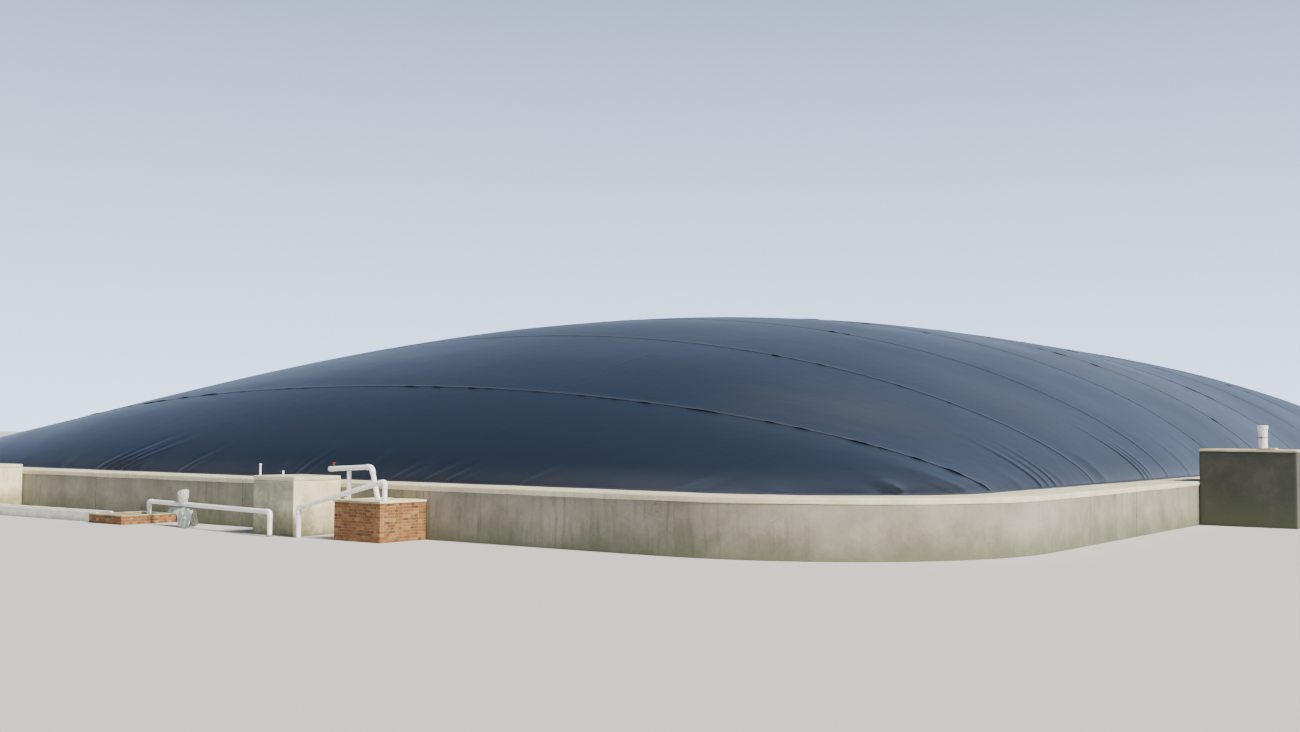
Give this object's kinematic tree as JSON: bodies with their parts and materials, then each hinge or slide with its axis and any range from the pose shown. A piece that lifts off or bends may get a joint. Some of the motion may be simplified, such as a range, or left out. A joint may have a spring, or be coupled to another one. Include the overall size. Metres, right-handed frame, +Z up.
{
  "type": "scale model of a covered-lagoon biogas digester, 1:10",
  "caption": "Long rectangular biogas lagoon under an inflated black membrane cover on a concrete rim, with brick and plaster chambers and white pipes.",
  "frame": {"origin": "middle of the plant's footprint, on the ground", "axes": "+X along the basin, away from the end with the inlet chambers; +Y to the left as seen from that end; +Z up"},
  "size_m": [9.1704, 4.5522, 0.7523],
  "materials": {
    "membrane": "black polyethylene membrane, satin with dust",
    "rendered_wall": "weathered cement render",
    "kerb_concrete": "cast concrete, light",
    "plaster": "stained cream plaster",
    "brick": "fired clay brick in mortar",
    "pvc": "white extruded pipe, satin",
    "plastic_film": "crumpled milky film",
    "tap_brass": "dull cast",
    "tap_handle_red": "red lever grip"
  },
  "bodies": {
    "root": {"cover_strip_01": "membrane", "cover_strip_02": "membrane", "cover_strip_03": "membrane", "cover_strip_04": "membrane", "cover_strip_05": "membrane", "cover_strip_06": "membrane", "cover_strip_07": "membrane", "cover_strip_08": "membrane", "cover_strip_09": "membrane", "cover_strip_10": "membrane", "cover_strip_11": "membrane", "cover_strip_12": "membrane", "cover_strip_13": "membrane", "rim_wall_front": "rendered_wall", "rim_wall_back": "rendered_wall", "rim_wall_left": "rendered_wall", "rim_wall_right": "rendered_wall", "rim_slab_front": "kerb_concrete", "rim_slab_back": "kerb_concrete", "rim_slab_left": "kerb_concrete", "rim_slab_right": "kerb_concrete", "inlet_box_1_walls": "plaster", "inlet_box_1_slab": "plaster", "inlet_box_2_walls": "plaster", "inlet_box_2_slab": "plaster", "inlet_stub_tall": "pvc", "inlet_stub_short": "pvc", "brick_chamber_walls": "brick", "brick_chamber_slab": "plaster", "low_box_walls": "brick", "low_box_coping": "plaster", "feed_channel": "plaster", "outlet_chamber_walls": "rendered_wall", "outlet_chamber_slab": "kerb_concrete", "vent_pad": "plaster", "vent_pipe": "pvc", "upper_pipe_run": "pvc", "upper_pipe_drop": "pvc", "upper_pipe_leg": "pvc", "tap_body": "tap_brass", "tap_handle": "tap_handle_red", "lower_pipe_riser": "pvc", "lower_pipe_run": "pvc", "lower_pipe_drop": "pvc", "left_pipe_riser": "pvc", "left_pipe_run": "pvc", "left_pipe_drop": "pvc", "left_valve_wrap": "plastic_film"}
  },
  "joints": []
}
